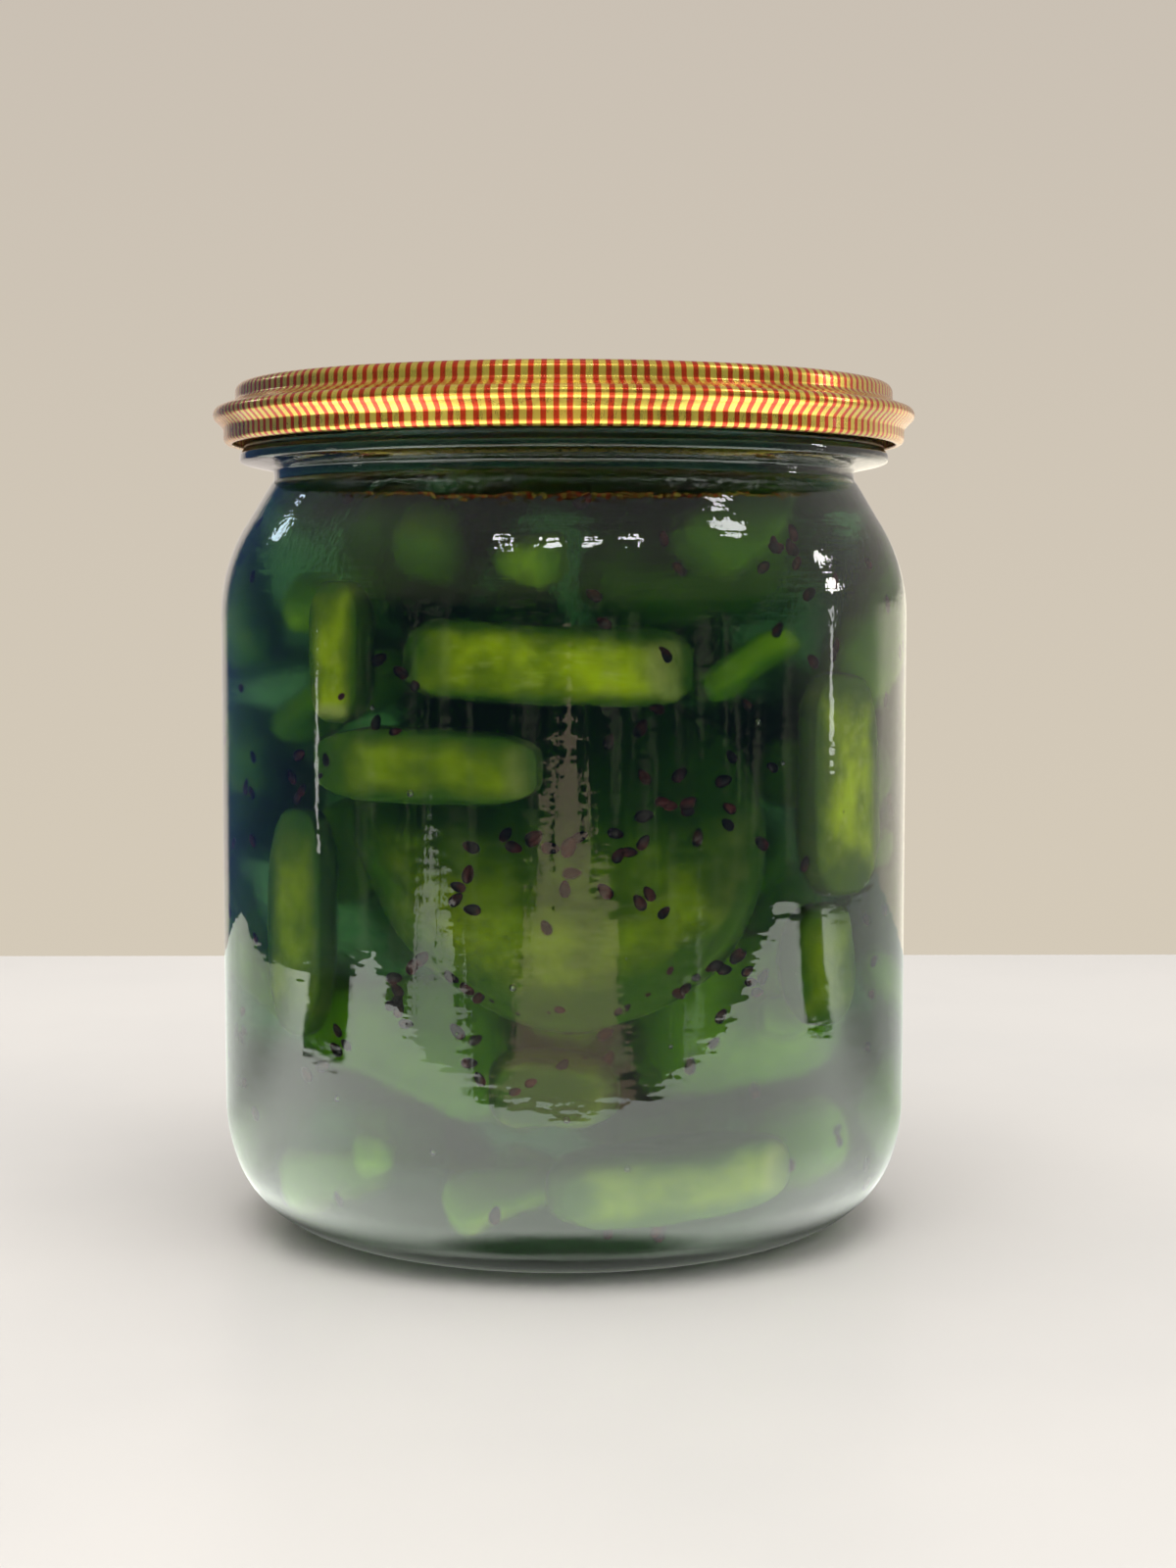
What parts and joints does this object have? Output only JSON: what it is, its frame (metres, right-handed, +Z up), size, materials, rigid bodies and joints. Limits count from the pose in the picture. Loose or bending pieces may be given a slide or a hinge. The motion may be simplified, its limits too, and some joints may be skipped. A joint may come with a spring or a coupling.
{
  "type": "jar of jam",
  "caption": "Squat round glass preserve jar with a striped press-on metal lid, filled to the lid with dark green fruit jelly holding pale green fruit slices and dark seeds.",
  "frame": {"origin": "centre of the base, on the surface that the jar stands on", "axes": "+Z up along the jar's axis, -Y towards the side that the picture shows, +X to that view's right"},
  "size_m": [0.0896, 0.0896, 0.1072],
  "materials": {
    "clear_glass": "clear, glossy, faint green tint in the thick base",
    "striped_lacquered_metal": "gold lacquer with fine red stripes, satin gloss",
    "green_jelly": "clear dark green set jelly, wet gloss",
    "green_fruit": "soft translucent fruit flesh, moist"
  },
  "bodies": {
    "root": {"jar_glass": "clear_glass", "lid": "striped_lacquered_metal", "jam": "green_jelly", "fruit_slab_top": "green_fruit", "fruit_slab_left": "green_fruit", "fruit_slab_middle": "green_fruit", "fruit_slice_round": "green_fruit", "fruit_wedge_right": "green_fruit", "fruit_wedge_right_low": "green_fruit", "fruit_wedge_left_low": "green_fruit", "fruit_chunk_low": "green_fruit", "fruit_slab_base": "green_fruit"}
  },
  "joints": []
}
